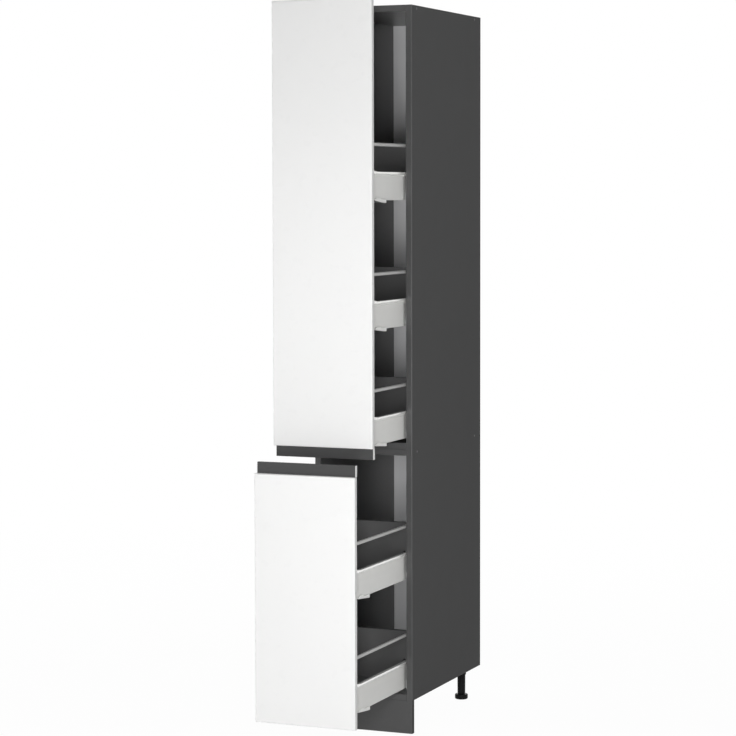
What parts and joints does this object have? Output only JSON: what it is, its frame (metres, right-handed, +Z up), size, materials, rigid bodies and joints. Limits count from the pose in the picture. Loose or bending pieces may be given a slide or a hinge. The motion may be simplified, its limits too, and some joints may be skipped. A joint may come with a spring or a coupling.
{
  "type": "pull-out larder unit",
  "caption": "Tall narrow larder cabinet on legs: two handleless fronts draw out stacks of metal-sided drawers with gallery rails on concealed telescopic runners",
  "frame": {"origin": "on the floor under the middle of the bounding box of the pose shown, both pull-outs partly drawn out", "axes": "+X to the right seen from the front, -Y towards the user (the pull-outs draw out along -Y), +Z up"},
  "size_m": [0.3, 0.9866, 2.068],
  "materials": {
    "carcass_board": "anthracite melamine-faced chipboard, satin",
    "drawer_board": "anthracite melamine-faced chipboard, satin",
    "back_board": "light grey lacquered hardboard, satin",
    "front_white": "white lacquered board, semi-gloss",
    "grip_anthracite": "anthracite faced strip with white edges, satin",
    "side_metal": "light warm-grey powder coat, satin",
    "rail_metal": "grey satin rail",
    "runner_zinc": "zinc-plated steel",
    "leg_plastic": "black moulded plastic"
  },
  "bodies": {
    "carcass": {"back_panel": "back_board", "bottom_panel": "carcass_board", "leg_front_left": "leg_plastic", "leg_front_right": "leg_plastic", "leg_rear_left": "leg_plastic", "leg_rear_right": "leg_plastic", "middle_shelf": "carcass_board", "plinth_board": "carcass_board", "runner_1_cabinet_left": "runner_zinc", "runner_1_cabinet_right": "runner_zinc", "runner_2_cabinet_left": "runner_zinc", "runner_2_cabinet_right": "runner_zinc", "runner_3_cabinet_left": "runner_zinc", "runner_3_cabinet_right": "runner_zinc", "runner_4_cabinet_left": "runner_zinc", "runner_4_cabinet_right": "runner_zinc", "runner_5_cabinet_left": "runner_zinc", "runner_5_cabinet_right": "runner_zinc", "side_panel_left": "carcass_board", "side_panel_right": "carcass_board", "top_panel": "carcass_board"},
    "upper_pullout": {"drawer_1_floor_and_back": "drawer_board", "drawer_1_rail_left": "rail_metal", "drawer_1_rail_right": "rail_metal", "drawer_1_side_left": "side_metal", "drawer_1_side_right": "side_metal", "drawer_2_floor_and_back": "drawer_board", "drawer_2_rail_left": "rail_metal", "drawer_2_rail_right": "rail_metal", "drawer_2_side_left": "side_metal", "drawer_2_side_right": "side_metal", "drawer_3_floor_and_back": "drawer_board", "drawer_3_rail_left": "rail_metal", "drawer_3_rail_right": "rail_metal", "drawer_3_side_left": "side_metal", "drawer_3_side_right": "side_metal", "upper_front": "front_white", "upper_grip_strip": "grip_anthracite"},
    "lower_pullout": {"drawer_4_floor_and_back": "drawer_board", "drawer_4_rail_left": "rail_metal", "drawer_4_rail_right": "rail_metal", "drawer_4_side_left": "side_metal", "drawer_4_side_right": "side_metal", "drawer_5_floor_and_back": "drawer_board", "drawer_5_rail_left": "rail_metal", "drawer_5_rail_right": "rail_metal", "drawer_5_side_left": "side_metal", "drawer_5_side_right": "side_metal", "lower_front": "front_white", "lower_grip_strip": "grip_anthracite"},
    "upper_runner_middles": {"runner_1_middle_left": "runner_zinc", "runner_1_middle_right": "runner_zinc", "runner_2_middle_left": "runner_zinc", "runner_2_middle_right": "runner_zinc", "runner_3_middle_left": "runner_zinc", "runner_3_middle_right": "runner_zinc"},
    "lower_runner_middles": {"runner_4_middle_left": "runner_zinc", "runner_4_middle_right": "runner_zinc", "runner_5_middle_left": "runner_zinc", "runner_5_middle_right": "runner_zinc"}
  },
  "joints": [
    {"name": "upper_pullout_slide", "type": "slide", "parent": "carcass", "child": "upper_pullout", "axis": [0, -1, 0], "range_m": [-0.264, 0.186]},
    {"name": "lower_pullout_slide", "type": "slide", "parent": "carcass", "child": "lower_pullout", "axis": [0, -1, 0], "range_m": [-0.39, 0.06]},
    {"name": "upper_runner_slide", "type": "slide", "parent": "carcass", "child": "upper_runner_middles", "axis": [0, -1, 0], "range_m": [-0.132, 0.093]},
    {"name": "lower_runner_slide", "type": "slide", "parent": "carcass", "child": "lower_runner_middles", "axis": [0, -1, 0], "range_m": [-0.195, 0.03]}
  ],
  "couplings": [
    {"joint": "upper_runner_slide", "follows": "upper_pullout_slide", "ratio": 0.5},
    {"joint": "lower_runner_slide", "follows": "lower_pullout_slide", "ratio": 0.5}
  ]
}
